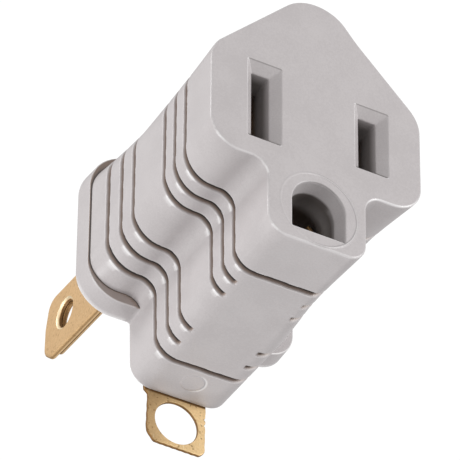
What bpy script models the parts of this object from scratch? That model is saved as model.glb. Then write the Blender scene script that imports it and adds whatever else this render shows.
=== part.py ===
"""Grounding plug adapter: a moulded vinyl body round three brass contacts.

Frame: X to the right of someone who faces the socket, +Y into the wall, +Z up. The origin lies on the wall
side of the flange, midway between the two blades. Lengths are in metres.
"""

import math

import bmesh
import bpy
from mathutils import Vector

MM = 0.001

# Body, as seen from the socket side
BODY_LENGTH = 29.5 * MM
APEX_RADIUS = 5.0 * MM
FRONT_HALF_WIDTH = 12.65 * MM
FRONT_ROOF = 17.65 * MM  # where the two 45 degree roof lines would meet
FRONT_SHOULDER = 7.5 * MM  # depth of the wings' underside below the blades' centre
WAIST_HALF_WIDTH = 11.65 * MM
WAIST_ROOF = 16.95 * MM
WAIST_SHOULDER = 7.2 * MM
WAIST_AT = 21.0 * MM  # from the socket face
WAIST_EASE = 1.65
FOOT_HALF_WIDTH = 12.0 * MM
FOOT_ROOF = 19.2 * MM
FOOT_SHOULDER = 7.6 * MM
ROOF_CORNER = 5.0 * MM
FOOT_ROOF_CORNER = 4.5 * MM
WING_CORNER = 3.4 * MM
FACE_EDGE = 0.24 * MM

# Ground lobe, along the whole underside
LOBE_DEPTH = 16.55 * MM
FRONT_LOBE_DEPTH = 16.3 * MM
LOBE_TOP_HALF = 5.95 * MM
REAR_LOBE_BOTTOM_HALF = 5.55 * MM
FRONT_LOBE_BOTTOM_HALF = 5.9 * MM
LOBE_CORNER = 2.2 * MM
LOBE_FILLET = 1.9 * MM

# Flange against the wall: a rounded plate that runs out into the roof above and the lobe below
FLANGE_THICKNESS = 2.75 * MM
FLANGE_HALF_WIDTH = 12.45 * MM
FLANGE_TOP = 10.8 * MM
FLANGE_BOTTOM = 8.9 * MM
FLANGE_TOP_CORNER = 5.4 * MM
FLANGE_BOTTOM_CORNER = 3.6 * MM
FLANGE_DRAFT = 0.25 * MM
FLANGE_EDGE = 0.15 * MM

# Grip grooves, from the socket face: the first and the last run all round
FRONT_GROOVE = 6.8 * MM
REAR_GROOVE = 18.3 * MM
GROOVE_PITCH = 2.35 * MM
REAR_GROOVE_PITCH = 2.6 * MM
GROOVE_DEPTH = 0.7 * MM
GROOVE_WIDTH = 0.8 * MM
GROOVE_PROFILE = ((0.0, 0.0), (0.06, 0.8), (0.28, 1.0), (0.55, 0.95), (0.78, 0.45), (1.0, 0.0))
PANEL_HALF_WIDTH = 4.2 * MM  # plain panel under the lobe, where the inner grooves stop
PANEL_FADE = 0.45 * MM

# Plug pattern
BLADE_SPACING = 12.7 * MM
PIN_DROP = 11.9 * MM  # centre of the ground pin below the blades

# Slots in the socket face
LEAD_IN = 1.0 * MM
SLOT_WIDTH = 2.1 * MM
NEUTRAL_SLOT_HEIGHT = 8.2 * MM
HOT_SLOT_HEIGHT = 6.5 * MM
PIN_HOLE_WIDTH = 5.5 * MM
PIN_HOLE_DROP = 11.3 * MM  # centre of the hole's round top below the blades
PIN_HOLE_FLOOR = 3.0 * MM  # flat underside of the hole below that centre
PIN_LEAD_IN = 1.6 * MM
PIN_LEAD_IN_STEP = 0.35 * MM

# Blades and their leaves
STRIP = 0.62 * MM
BLADE_LENGTH = 17.6 * MM
NEUTRAL_BLADE_WIDTH = 7.9 * MM
HOT_BLADE_WIDTH = 6.35 * MM
BLADE_TIP_RUN = 2.2 * MM  # length over which each tip corner is cut back
BLADE_TIP_DROP = 1.4 * MM
BLADE_TIP_BOW = 0.3 * MM
BLADE_TIP_CORNER = 1.7 * MM
BLADE_BEVEL = 0.2 * MM
BLADE_HOLE = 3.2 * MM
BLADE_HOLE_AT = 12.2 * MM
BLADE_HOLE_DIMPLE = 0.2 * MM
SEAM_WIDTH = 0.14 * MM
SEAM_DEPTH = 0.7 * MM
FAR_LAYER_SHORT = 1.9 * MM  # the fold's far layer ends before the near one at the tip
FAR_LAYER_RISE = 0.35 * MM  # and stops above its lower edge
FAR_LAYER_CORNER = 0.5 * MM
LEAF_START = 4.8 * MM  # from the socket face
LEAF_LENGTH = 14.5 * MM
LEAF_THICKNESS = 0.6 * MM
LEAF_MOUTH = 2.0 * MM  # between the leaves where the blade enters
LEAF_GRIP = 1.2 * MM
LEAF_FLARE = 1.6 * MM
LEAF_TAPER = 3.0 * MM

# Ground contact and its tab
PIN_SLEEVE_BORE = 4.7 * MM
PIN_SLEEVE_LENGTH = 12.5 * MM
PIN_SLEEVE_GAP = 70.0  # degrees left open along the top
GROUND_STRIP = 0.4 * MM
TAIL_HALF_WIDTH = 3.9 * MM
TAB_HALF_WIDTH = 3.45 * MM
TAB_BELOW_LOBE = 6.35 * MM
TAB_CORNER = 1.25 * MM
TAB_BEND = 0.5 * MM
TAB_HOLE = 5.1 * MM
TAB_HOLE_BELOW_LOBE = 3.15 * MM
SHOULDER_BELOW_LOBE = 0.2 * MM
SHOULDER_CORNER = 0.2 * MM

CLEARANCE = 0.3 * MM
CUT_THROUGH = 1.0 * MM

# Straight pieces along each arc
APEX_STEPS = 12
ROOF_CORNER_STEPS = 6
WING_CORNER_STEPS = 7
LOBE_FILLET_STEPS = 5
LOBE_CORNER_STEPS = 7
FLANGE_CORNER_STEPS = 9
TIP_STEPS = 5
EDGE_STEPS = 3
PIN_HOLE_STEPS = 14
SLEEVE_STEPS = 24
BEND_STEPS = 5
SMOOTH_BELOW = 35  # degrees between faces that are shaded as one surface

# What follows from them
FACE_Y = -BODY_LENGTH
NEUTRAL_X = -BLADE_SPACING / 2
HOT_X = BLADE_SPACING / 2
BLADE_THICKNESS = 2 * STRIP
FLANGE_ALONG = BODY_LENGTH - FLANGE_THICKNESS
TAB_Y = 0.0  # the tab's front lies in the plane of the wall side

VINYL = ((0.56, 0.53, 0.52, 1.0), 0.42, 0.0)
BRASS = ((0.72, 0.52, 0.27, 1.0), 0.32, 1.0)
TAB_BRASS = ((0.68, 0.50, 0.20, 1.0), 0.36, 1.0)


def clear_scene():
    for obj in list(bpy.data.objects):
        bpy.data.objects.remove(obj, do_unlink=True)


def new_collection(name):
    made = bpy.data.collections.new(name)
    bpy.context.scene.collection.children.link(made)
    return made


def new_material(name, look):
    color, roughness, metallic = look
    made = bpy.data.materials.new(name)
    made.use_nodes = True
    shader = made.node_tree.nodes["Principled BSDF"]
    shader.inputs["Base Color"].default_value = color
    shader.inputs["Roughness"].default_value = roughness
    shader.inputs["Metallic"].default_value = metallic
    made.diffuse_color = color
    return made


def new_object(name, mesh, collection, material=None):
    made = bpy.data.objects.new(name, mesh)
    collection.objects.link(made)
    if material:
        mesh.materials.append(material)
    return made


def fillet(before, corner, after, radius, steps):
    """(point, outward normal) pairs along the arc that rounds one corner of a clockwise outline."""
    back = (before - corner).normalized()
    ahead = (after - corner).normalized()
    half = back.angle(ahead) / 2
    centre = corner + (back + ahead).normalized() * (radius / math.sin(half))
    start = corner + back * (radius / math.tan(half)) - centre
    end = corner + ahead * (radius / math.tan(half)) - centre
    turn = start.angle_signed(end)
    side = 1.0 if turn > 0 else -1.0
    arc = []
    for step in range(steps + 1):
        angle = -turn * step / steps
        spoke = Vector((start.x * math.cos(angle) - start.y * math.sin(angle),
                        start.x * math.sin(angle) + start.y * math.cos(angle)))
        arc.append((centre + spoke, spoke.normalized() * side))
    return arc


def rounded_outline(corners):
    """The whole outline through (x, z, radius, steps) corners, given clockwise from the top."""
    points = [Vector(corner[:2]) for corner in corners]
    outline = []
    for index, (_, _, radius, steps) in enumerate(corners):
        before = points[index - 1]
        after = points[(index + 1) % len(points)]
        outline += fillet(before, points[index], after, radius, steps)
    return outline


def eased(front, waist, foot, along):
    """A body size at a distance behind the socket face: drawn in to the waist, then out to the flange."""
    if along < WAIST_AT:
        return waist + (front - waist) * (1 - along / WAIST_AT) ** WAIST_EASE
    beyond = (along - WAIST_AT) / (FLANGE_ALONG - WAIST_AT)
    return waist + (foot - waist) * min(beyond, 1.0) ** 2


def body_section(along):
    """The cross-section at a distance behind the face: pitched roof, wings and, below them, the ground lobe."""
    half_width = eased(FRONT_HALF_WIDTH, WAIST_HALF_WIDTH, FOOT_HALF_WIDTH, along)
    roof = eased(FRONT_ROOF, WAIST_ROOF, FOOT_ROOF, along)
    shoulder = eased(FRONT_SHOULDER, WAIST_SHOULDER, FOOT_SHOULDER, along)
    roof_corner = eased(ROOF_CORNER, ROOF_CORNER, FOOT_ROOF_CORNER, along)
    share = min(along / FLANGE_ALONG, 1.0)
    lobe_depth = FRONT_LOBE_DEPTH + (LOBE_DEPTH - FRONT_LOBE_DEPTH) * share
    lobe_bottom = FRONT_LOBE_BOTTOM_HALF + (REAR_LOBE_BOTTOM_HALF - FRONT_LOBE_BOTTOM_HALF) * share
    right = [
        (half_width, roof - half_width, roof_corner, ROOF_CORNER_STEPS),
        (half_width, -shoulder, WING_CORNER, WING_CORNER_STEPS),
        (LOBE_TOP_HALF, -shoulder, LOBE_FILLET, LOBE_FILLET_STEPS),
        (lobe_bottom, -lobe_depth, LOBE_CORNER, LOBE_CORNER_STEPS),
    ]
    left = [(-x, z, radius, steps) for x, z, radius, steps in reversed(right)]
    return rounded_outline([(0.0, roof, APEX_RADIUS, APEX_STEPS)] + right + left)


def flange_section():
    right = [
        (FLANGE_HALF_WIDTH, FLANGE_TOP, FLANGE_TOP_CORNER, FLANGE_CORNER_STEPS),
        (FLANGE_HALF_WIDTH, -FLANGE_BOTTOM, FLANGE_BOTTOM_CORNER, WING_CORNER_STEPS),
    ]
    left = [(-x, z, radius, steps) for x, z, radius, steps in reversed(right)]
    return rounded_outline(right + left)


def off_panel(point):
    """1 where an inner groove is at full depth, falling to 0 on the plain panel under the lobe."""
    if point.y > -LOBE_DEPTH + LOBE_CORNER:
        return 1.0
    return min(max((abs(point.x) - PANEL_HALF_WIDTH) / PANEL_FADE, 0.0), 1.0)


def groove_starts():
    """(distance behind the face, whether it runs all round) for each groove."""
    starts = [(FRONT_GROOVE + index * GROOVE_PITCH, index == 0) for index in range(3)]
    starts += [(REAR_GROOVE + index * REAR_GROOVE_PITCH, index == 2) for index in range(3)]
    return starts


def ring_of(section, along, inset=0.0, groove=0.0, all_round=True):
    """One ring of points of the body's skin, drawn in by an edge rounding or a groove."""
    ring = []
    for point, normal in section:
        depth = inset + groove * (1.0 if all_round else off_panel(point))
        moved = point - normal * depth
        ring.append(Vector((moved.x, FACE_Y + along, moved.y)))
    return ring


def body_rings():
    """Rings of the skin from the socket face to the wall side."""
    rings = []
    for step in range(EDGE_STEPS + 1):
        angle = math.radians(90 * step / EDGE_STEPS)
        along = FACE_EDGE * (1 - math.cos(angle))
        rings.append(ring_of(body_section(along), along, inset=FACE_EDGE * (1 - math.sin(angle))))
    for start, all_round in groove_starts():
        for share, depth in GROOVE_PROFILE:
            along = start + share * GROOVE_WIDTH
            rings.append(ring_of(body_section(along), along, 0.0, GROOVE_DEPTH * depth, all_round))
    last_groove = groove_starts()[-1][0] + GROOVE_WIDTH
    for share in (0.5, 1.0):
        along = last_groove + (FLANGE_ALONG - last_groove) * share
        rings.append(ring_of(body_section(along), along))
    return rings + wall_edge_rings(body_section(BODY_LENGTH))


def wall_edge_rings(section):
    """The rounded edge that ends a section at the wall side."""
    rings = []
    for step in range(EDGE_STEPS):
        angle = math.radians(90 * step / (EDGE_STEPS - 1))
        along = BODY_LENGTH - FLANGE_EDGE * (1 - math.sin(angle))
        rings.append(ring_of(section, along, inset=FLANGE_EDGE * (1 - math.cos(angle))))
    return rings


def flange_rings():
    section = flange_section()
    rings = []
    for step in range(EDGE_STEPS):
        angle = math.radians(90 * step / (EDGE_STEPS - 1))
        along = FLANGE_ALONG + FLANGE_EDGE * (1 - math.cos(angle))
        inset = FLANGE_DRAFT + FLANGE_EDGE * (1 - math.sin(angle))
        rings.append(ring_of(section, along, inset))
    return rings + wall_edge_rings(section)


def lofted_mesh(name, rings):
    """A closed skin through rings of equal length, capped at both ends."""
    bm = bmesh.new()
    loops = [[bm.verts.new(point) for point in ring] for ring in rings]
    for near, far in zip(loops, loops[1:]):
        for index in range(len(near)):
            following = (index + 1) % len(near)
            bm.faces.new((near[index], near[following], far[following], far[index]))
    bm.faces.new(list(reversed(loops[0])))
    bm.faces.new(loops[-1])
    bmesh.ops.recalc_face_normals(bm, faces=bm.faces)
    mesh = bpy.data.meshes.new(name)
    bm.to_mesh(mesh)
    bm.free()
    return mesh


def prism(name, outline, axis, start, end):
    """A flat outline of (a, b) pairs carried along X, Y or Z from start to end."""
    place = {
        "X": lambda a, b, along: (along, a, b),
        "Y": lambda a, b, along: (a, along, b),
        "Z": lambda a, b, along: (a, b, along),
    }[axis]
    rings = [[Vector(place(a, b, along)) for a, b in outline] for along in (start, end)]
    return lofted_mesh(name, rings)


def box(name, low, high):
    outline = [(low[0], low[2]), (high[0], low[2]), (high[0], high[2]), (low[0], high[2])]
    return prism(name, outline, "Y", low[1], high[1])


def cylinder(name, radius, length, centre, turn=(0.0, 0.0, 0.0), end_radius=None, sides=32):
    """A cylinder or cone about its own Z axis, turned and then placed."""
    bpy.ops.mesh.primitive_cone_add(
        vertices=sides, radius1=radius, radius2=radius if end_radius is None else end_radius,
        depth=length, location=centre, rotation=turn,
    )
    made = bpy.context.active_object
    made.name = name
    for collection in list(made.users_collection):
        collection.objects.unlink(made)
    return made


def as_cutter(obj, collection):
    if not obj.users_collection:
        collection.objects.link(obj)
    obj.hide_render = True
    obj.display_type = "WIRE"
    return obj


def boolean(target, other, operation):
    modifier = target.modifiers.new(other.name, "BOOLEAN")
    modifier.operation = operation
    modifier.object = other


def smooth(obj):
    obj.data.shade_smooth()
    obj.data.set_sharp_from_angle(angle=math.radians(SMOOTH_BELOW))


def rectangle(centre_x, half_width, half_height):
    return [
        (centre_x - half_width, -half_height),
        (centre_x + half_width, -half_height),
        (centre_x + half_width, half_height),
        (centre_x - half_width, half_height),
    ]


def pin_hole_outline(grow):
    """The D-shaped ground hole: round above, flat below."""
    radius = PIN_HOLE_WIDTH / 2 + grow
    outline = []
    for step in range(PIN_HOLE_STEPS + 1):
        angle = math.pi * step / PIN_HOLE_STEPS
        outline.append((radius * math.cos(angle), -PIN_HOLE_DROP + radius * math.sin(angle)))
    floor = -PIN_HOLE_DROP - PIN_HOLE_FLOOR - grow
    return outline + [(-radius, floor), (radius, floor)]


def slot_cutter(name, centre_x, height):
    """A slot with its lead-in, and past it the pocket that leaves the contact's leaves room to spring."""
    half_width = SLOT_WIDTH / 2
    half_height = height / 2
    reach = LEAD_IN + CUT_THROUGH
    rings = []
    for along, grow in ((-CUT_THROUGH, reach), (LEAD_IN, 0.0), (LEAF_START, 0.0)):
        outline = rectangle(centre_x, half_width + grow, half_height + grow)
        rings.append([Vector((x, FACE_Y + along, z)) for x, z in outline])
    return lofted_mesh(name, rings)


def pin_hole_cutter(name):
    rings = []
    slope = PIN_LEAD_IN_STEP / PIN_LEAD_IN
    stations = (
        (-CUT_THROUGH, PIN_LEAD_IN_STEP + slope * CUT_THROUGH),
        (PIN_LEAD_IN, 0.0),
        (LEAF_START, 0.0),
    )
    for along, grow in stations:
        rings.append([Vector((x, FACE_Y + along, z)) for x, z in pin_hole_outline(grow)])
    return lofted_mesh(name, rings)


def leaf_pocket(name, centre_x, height):
    """Room for the two leaves and the root of the blade, with the clearance all round."""
    half_pocket = LEAF_MOUTH / 2 + LEAF_THICKNESS + CLEARANCE
    half_blade = BLADE_THICKNESS / 2 + CLEARANCE
    half_height = height / 2 + CLEARANCE
    front = FACE_Y + LEAF_START - CLEARANCE
    neck = FACE_Y + LEAF_START + LEAF_LENGTH
    rear = CUT_THROUGH
    outline = [
        (centre_x - half_pocket, front),
        (centre_x + half_pocket, front),
        (centre_x + half_pocket, neck),
        (centre_x + half_blade, neck + LEAF_TAPER),
        (centre_x + half_blade, rear),
        (centre_x - half_blade, rear),
        (centre_x - half_blade, neck + LEAF_TAPER),
        (centre_x - half_pocket, neck),
    ]
    return prism(name, outline, "Z", -half_height, half_height)


def contact_outline(centre_x):
    """The folded strip seen from above: two sprung leaves that close into one double blade."""
    start = FACE_Y + LEAF_START
    neck = start + LEAF_LENGTH
    mouth = LEAF_MOUTH / 2
    grip = LEAF_GRIP / 2
    blade = BLADE_THICKNESS / 2
    bow = start + LEAF_FLARE + (LEAF_LENGTH - LEAF_FLARE) / 2
    outer = [
        (mouth + LEAF_THICKNESS, start),
        (grip + LEAF_THICKNESS, start + LEAF_FLARE),
        (grip + LEAF_THICKNESS + (mouth - grip) / 2, bow),
        (grip + LEAF_THICKNESS, neck),
        (blade, neck + LEAF_TAPER),
        (blade, BLADE_LENGTH),
    ]
    inner = [
        (mouth, start),
        (grip, start + LEAF_FLARE),
        (grip + (mouth - grip) / 2, bow),
        (grip, neck - LEAF_THICKNESS),
    ]
    right = [(centre_x + x, y) for x, y in outer]
    left = [(centre_x - x, y) for x, y in reversed(outer)]
    inside_left = [(centre_x - x, y) for x, y in inner]
    inside_right = [(centre_x + x, y) for x, y in reversed(inner)]
    return right + left + inside_left + inside_right


def blade_side_outline(width):
    """The blade seen from the side: a bowed tip with both corners cut back and rounded."""
    half = width / 2
    upper = [
        (BLADE_LENGTH - BLADE_TIP_RUN, half, BLADE_TIP_CORNER, TIP_STEPS),
        (BLADE_LENGTH - BLADE_TIP_BOW, half - BLADE_TIP_DROP, BLADE_TIP_CORNER, TIP_STEPS),
    ]
    tip = (BLADE_LENGTH, 0.0, BLADE_TIP_CORNER, 1)
    lower = [(y, -z, radius, steps) for y, z, radius, steps in reversed(upper)]
    arcs = rounded_outline([(FACE_Y, half, CLEARANCE, 1)] + upper + [tip] + lower
                           + [(FACE_Y, -half, CLEARANCE, 1)])
    return [(point.x, point.y) for point, _ in arcs]


def far_layer_cut(width, start):
    """What the fold's far layer lacks beside the near one, seen from the side: the tip and a strip below."""
    low = -width / 2 - CUT_THROUGH
    high = width / 2 + CUT_THROUGH
    edge = FAR_LAYER_RISE - width / 2
    end = BLADE_LENGTH - FAR_LAYER_SHORT
    tip = BLADE_LENGTH + CUT_THROUGH
    corners = [
        (end, high, CLEARANCE, 1),
        (tip, high, CLEARANCE, 1),
        (tip, low, CLEARANCE, 1),
        (start, low, CLEARANCE, 1),
        (start, edge, CLEARANCE, 1),
        (end, edge, FAR_LAYER_CORNER, TIP_STEPS),
    ]
    return [(point.x, point.y) for point, _ in rounded_outline(corners)]


def build_blade_contact(name, centre_x, width, parts, cutters, material):
    half = width / 2
    mesh = prism(name, contact_outline(centre_x), "Z", -half, half)
    contact = new_object(name, mesh, parts, material)
    bevel = contact.modifiers.new("edge", "BEVEL")
    bevel.width = BLADE_BEVEL / 2
    bevel.segments = 2
    bevel.limit_method = "ANGLE"
    bevel.angle_limit = math.radians(80)
    shape_mesh = prism(name + "_shape", blade_side_outline(width), "X",
                       centre_x - SLOT_WIDTH * 2, centre_x + SLOT_WIDTH * 2)
    shape = new_object(name + "_shape", shape_mesh, cutters)
    boolean(contact, as_cutter(shape, cutters), "INTERSECT")
    hole = cylinder(name + "_hole", BLADE_HOLE / 2, 4 * BLADE_THICKNESS,
                    (centre_x, BLADE_HOLE_AT, 0.0), turn=(0.0, math.radians(90), 0.0))
    boolean(contact, as_cutter(hole, cutters), "DIFFERENCE")
    for side in (-1, 1):
        dimple = cylinder(
            name + "_dimple", BLADE_HOLE / 2 + 2 * BLADE_HOLE_DIMPLE, 2 * BLADE_HOLE_DIMPLE,
            (centre_x + side * BLADE_THICKNESS / 2, BLADE_HOLE_AT, 0.0),
            turn=(0.0, math.radians(-90 * side), 0.0), end_radius=BLADE_HOLE / 2,
        )
        boolean(contact, as_cutter(dimple, cutters), "DIFFERENCE")
    fold_start = FACE_Y + LEAF_START + LEAF_LENGTH
    seam = box(
        name + "_seam",
        (centre_x - SEAM_WIDTH / 2, fold_start, -half - CUT_THROUGH),
        (centre_x + SEAM_WIDTH / 2, BLADE_LENGTH - FAR_LAYER_SHORT, -half + SEAM_DEPTH),
    )
    boolean(contact, as_cutter(new_object(name + "_seam", seam, cutters), cutters), "DIFFERENCE")
    short = prism(name + "_far_layer", far_layer_cut(width, fold_start), "X",
                  centre_x, centre_x + STRIP + CUT_THROUGH)
    boolean(contact, as_cutter(new_object(name + "_far_layer", short, cutters), cutters), "DIFFERENCE")
    smooth(contact)
    return contact


def sleeve_outline():
    """The strip rolled round the ground pin, open along the top."""
    inner = PIN_SLEEVE_BORE / 2
    outer = inner + GROUND_STRIP
    first = math.radians(90 + PIN_SLEEVE_GAP / 2)
    last = math.radians(450 - PIN_SLEEVE_GAP / 2)
    arc = [first + (last - first) * step / SLEEVE_STEPS for step in range(SLEEVE_STEPS + 1)]
    around = [(outer * math.cos(angle), -PIN_DROP + outer * math.sin(angle)) for angle in arc]
    back = [(inner * math.cos(angle), -PIN_DROP + inner * math.sin(angle)) for angle in reversed(arc)]
    return around + back


def tail_outline():
    """The tail and tab seen from the side: along the lobe, then turned down behind it."""
    bottom = -PIN_DROP - PIN_SLEEVE_BORE / 2 - GROUND_STRIP
    top = bottom + GROUND_STRIP
    tab_end = -LOBE_DEPTH - TAB_BELOW_LOBE
    start = FACE_Y + LEAF_START + PIN_SLEEVE_LENGTH / 2
    rear = TAB_Y + GROUND_STRIP
    outward = TAB_BEND + GROUND_STRIP
    centre_y = rear - outward
    centre_z = top - outward
    outer = []
    inner = []
    for step in range(BEND_STEPS + 1):
        angle = math.pi / 2 * step / BEND_STEPS
        outer.append((centre_y + outward * math.sin(angle), centre_z + outward * math.cos(angle)))
        inner.append((centre_y + TAB_BEND * math.sin(angle), centre_z + TAB_BEND * math.cos(angle)))
    return [(start, top)] + outer + [(rear, tab_end), (TAB_Y, tab_end)] + inner[::-1] + [(start, bottom)]


def tab_front_outline():
    """The tail's shoulder and the tab below it, seen from the front."""
    step = -LOBE_DEPTH - SHOULDER_BELOW_LOBE
    end = -LOBE_DEPTH - TAB_BELOW_LOBE
    right = [
        (TAIL_HALF_WIDTH, 0.0, SHOULDER_CORNER, 1),
        (TAIL_HALF_WIDTH, step, SHOULDER_CORNER, 2),
        (TAB_HALF_WIDTH, step, SHOULDER_CORNER, 2),
        (TAB_HALF_WIDTH, end, TAB_CORNER, 5),
    ]
    left = [(-x, z, radius, steps) for x, z, radius, steps in reversed(right)]
    return [(point.x, point.y) for point, _ in rounded_outline(right + left)]


def build_ground_contact(parts, cutters, material):
    start = FACE_Y + LEAF_START
    tail_mesh = prism("ground_contact", tail_outline(), "X", -TAIL_HALF_WIDTH, TAIL_HALF_WIDTH)
    contact = new_object("ground_contact", tail_mesh, parts, material)
    front = prism("tab_shape", tab_front_outline(), "Y", FACE_Y, CUT_THROUGH + GROUND_STRIP)
    boolean(contact, as_cutter(new_object("tab_shape", front, cutters), cutters), "INTERSECT")
    sleeve = prism("pin_sleeve", sleeve_outline(), "Y", start, start + PIN_SLEEVE_LENGTH)
    boolean(contact, as_cutter(new_object("pin_sleeve", sleeve, cutters), cutters), "UNION")
    bore = cylinder("pin_bore", PIN_SLEEVE_BORE / 2, 2 * BODY_LENGTH,
                    (0.0, start, -PIN_DROP), turn=(math.radians(90), 0.0, 0.0))
    boolean(contact, as_cutter(bore, cutters), "DIFFERENCE")
    hole = cylinder("tab_hole", TAB_HOLE / 2, 6 * GROUND_STRIP,
                    (0.0, TAB_Y, -LOBE_DEPTH - TAB_HOLE_BELOW_LOBE), turn=(math.radians(90), 0.0, 0.0),
                    sides=48)
    boolean(contact, as_cutter(hole, cutters), "DIFFERENCE")
    smooth(contact)
    return contact


def build_body(parts, cutters, material):
    body = new_object("vinyl_body", lofted_mesh("vinyl_body", body_rings()), parts, material)
    flange = new_object("flange", lofted_mesh("flange", flange_rings()), cutters)
    smooth(flange)
    boolean(body, as_cutter(flange, cutters), "UNION")
    start = FACE_Y + LEAF_START
    tail_bottom = -PIN_DROP - PIN_SLEEVE_BORE / 2 - GROUND_STRIP
    sleeve_room = PIN_SLEEVE_BORE / 2 + GROUND_STRIP + CLEARANCE
    cuts = {
        "neutral_slot": slot_cutter("neutral_slot", NEUTRAL_X, NEUTRAL_SLOT_HEIGHT),
        "hot_slot": slot_cutter("hot_slot", HOT_X, HOT_SLOT_HEIGHT),
        "pin_hole": pin_hole_cutter("pin_hole"),
        "neutral_pocket": leaf_pocket("neutral_pocket", NEUTRAL_X, NEUTRAL_BLADE_WIDTH),
        "hot_pocket": leaf_pocket("hot_pocket", HOT_X, HOT_BLADE_WIDTH),
        "tail_pocket": box(
            "tail_pocket",
            (-TAIL_HALF_WIDTH - CLEARANCE, start, tail_bottom - CLEARANCE),
            (TAIL_HALF_WIDTH + CLEARANCE, CUT_THROUGH, tail_bottom + GROUND_STRIP + CLEARANCE),
        ),
        "tab_seat": box(
            "tab_seat",
            (-TAIL_HALF_WIDTH - CLEARANCE, TAB_Y - CLEARANCE, -LOBE_DEPTH - CUT_THROUGH),
            (TAIL_HALF_WIDTH + CLEARANCE, CUT_THROUGH, tail_bottom),
        ),
    }
    for name, mesh in cuts.items():
        boolean(body, as_cutter(new_object(name, mesh, cutters), cutters), "DIFFERENCE")
    pocket_length = PIN_SLEEVE_LENGTH + 2 * CLEARANCE
    sleeve_pocket = cylinder(
        "sleeve_pocket", sleeve_room, pocket_length,
        (0.0, start + PIN_SLEEVE_LENGTH / 2, -PIN_DROP), turn=(math.radians(90), 0.0, 0.0),
    )
    boolean(body, as_cutter(sleeve_pocket, cutters), "DIFFERENCE")
    smooth(body)
    return body


def main():
    clear_scene()
    parts = new_collection("grounding_plug_adapter")
    cutters = new_collection("cutters")
    cutters.hide_render = True
    build_body(parts, cutters, new_material("vinyl", VINYL))
    build_blade_contact("neutral_contact", NEUTRAL_X, NEUTRAL_BLADE_WIDTH, parts, cutters,
                        new_material("neutral_brass", BRASS))
    build_blade_contact("hot_contact", HOT_X, HOT_BLADE_WIDTH, parts, cutters,
                        new_material("hot_brass", BRASS))
    build_ground_contact(parts, cutters, new_material("ground_brass", TAB_BRASS))


main()
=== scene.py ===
"""The looks of the grounding plug adapter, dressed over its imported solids.

Shapes are worked out in millimetres in the row's frame: X to the right of someone who faces the socket,
+Y into the wall, +Z up, with the wall side of the flange at Y = 0. They become metres in their meshes.
"""

import bpy
import numpy as np
from mathutils import Matrix, Vector
from mathutils.geometry import delaunay_2d_cdt


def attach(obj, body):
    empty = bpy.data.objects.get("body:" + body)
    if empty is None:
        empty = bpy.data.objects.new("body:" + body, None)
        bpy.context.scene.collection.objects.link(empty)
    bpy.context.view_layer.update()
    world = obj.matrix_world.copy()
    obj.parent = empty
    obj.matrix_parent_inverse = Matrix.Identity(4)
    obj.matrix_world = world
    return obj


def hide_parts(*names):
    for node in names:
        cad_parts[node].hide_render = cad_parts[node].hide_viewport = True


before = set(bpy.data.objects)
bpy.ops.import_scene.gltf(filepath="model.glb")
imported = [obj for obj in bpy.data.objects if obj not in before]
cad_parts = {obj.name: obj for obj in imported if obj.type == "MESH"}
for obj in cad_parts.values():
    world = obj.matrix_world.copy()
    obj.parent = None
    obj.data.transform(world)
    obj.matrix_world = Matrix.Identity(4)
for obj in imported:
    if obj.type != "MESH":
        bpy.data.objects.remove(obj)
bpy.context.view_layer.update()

MM = 0.001

# Housing; the sizes at the face, at the waist and at the flange
LENGTH = 29.5
FRONT = {"half_width": 12.63, "roof": 17.7, "shoulder": 7.5, "roof_corner": 4.1}
WAIST = {"half_width": 11.65, "roof": 17.36, "shoulder": 7.2, "roof_corner": 3.9}
FOOT = {"half_width": 12.12, "roof": 18.68, "shoulder": 7.6, "roof_corner": 4.5}
WAIST_AT = {"half_width": 21.0, "roof": 17.6, "shoulder": 21.0, "roof_corner": 21.0}
WAIST_EASE = 1.65
FOOT_EASE = {"half_width": 2.0, "roof": 1.15, "shoulder": 2.0, "roof_corner": 2.0}
APEX_RADIUS = 4.9
ROOF_LEAN = 0.16  # how far the roof's ridge lies to the left at the face
# Distances behind the face, and how far the right side is drawn in at each
RIGHT_DRAWN_IN = ((0, 3, 5, 8, 10.5, 13, 17), (0.35, 0.48, 0.58, 0.68, 0.6, 0.35, 0.0))
DRAWN_IN_FROM = (2.5, 5.5)  # X where that starts and where it is full
WING_CORNER = 3.4
FACE_EDGE = 0.24
LOBE_TOP_HALF = 5.95
LOBE_FRONT = {"depth": 16.3, "bottom_half": 5.9}
LOBE_REAR = {"depth": 16.55, "bottom_half": 5.7}
LOBE_FILLET = 1.9
LOBE_CORNER = 2.2
LOBE_CORNER_GROWTH = 0.3  # from the face to the flange
LOBE_LOWER_PART = -12  # height where the fillets above it have ended

# Flange
FLANGE_ALONG = 26.75
FLANGE_HALF_WIDTH = 12.45
FLANGE_RIGHT_REACH = 0.15  # how much further its right end stands out
FLANGE_REACH_FROM = (2.5, 8)  # X where that starts and where it is full
FLANGE_TOP = 10.8
FLANGE_BOTTOM = 8.95
FLANGE_TOP_CORNER = 5.4
FLANGE_LEFT_CORNER = 4.2  # its bottom corners
FLANGE_RIGHT_CORNER = 3.5
FLANGE_DRAFT = 0.1
FLANGE_EDGE = 0.16
WALL_EDGE = 0.22
LEDGE_REACH = 2.8  # how far the ledge's inner end is drawn in from the flange's outline
LEDGE_SLOPE = 0.06
CREASE = 0.05  # size of the soft crease between flange and housing

# Grip grooves
GROOVES = (6.8, 9.15, 11.5, 18.3, 20.9, 23.5)
ALL_ROUND = (True, False, False, False, False, True)
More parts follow.
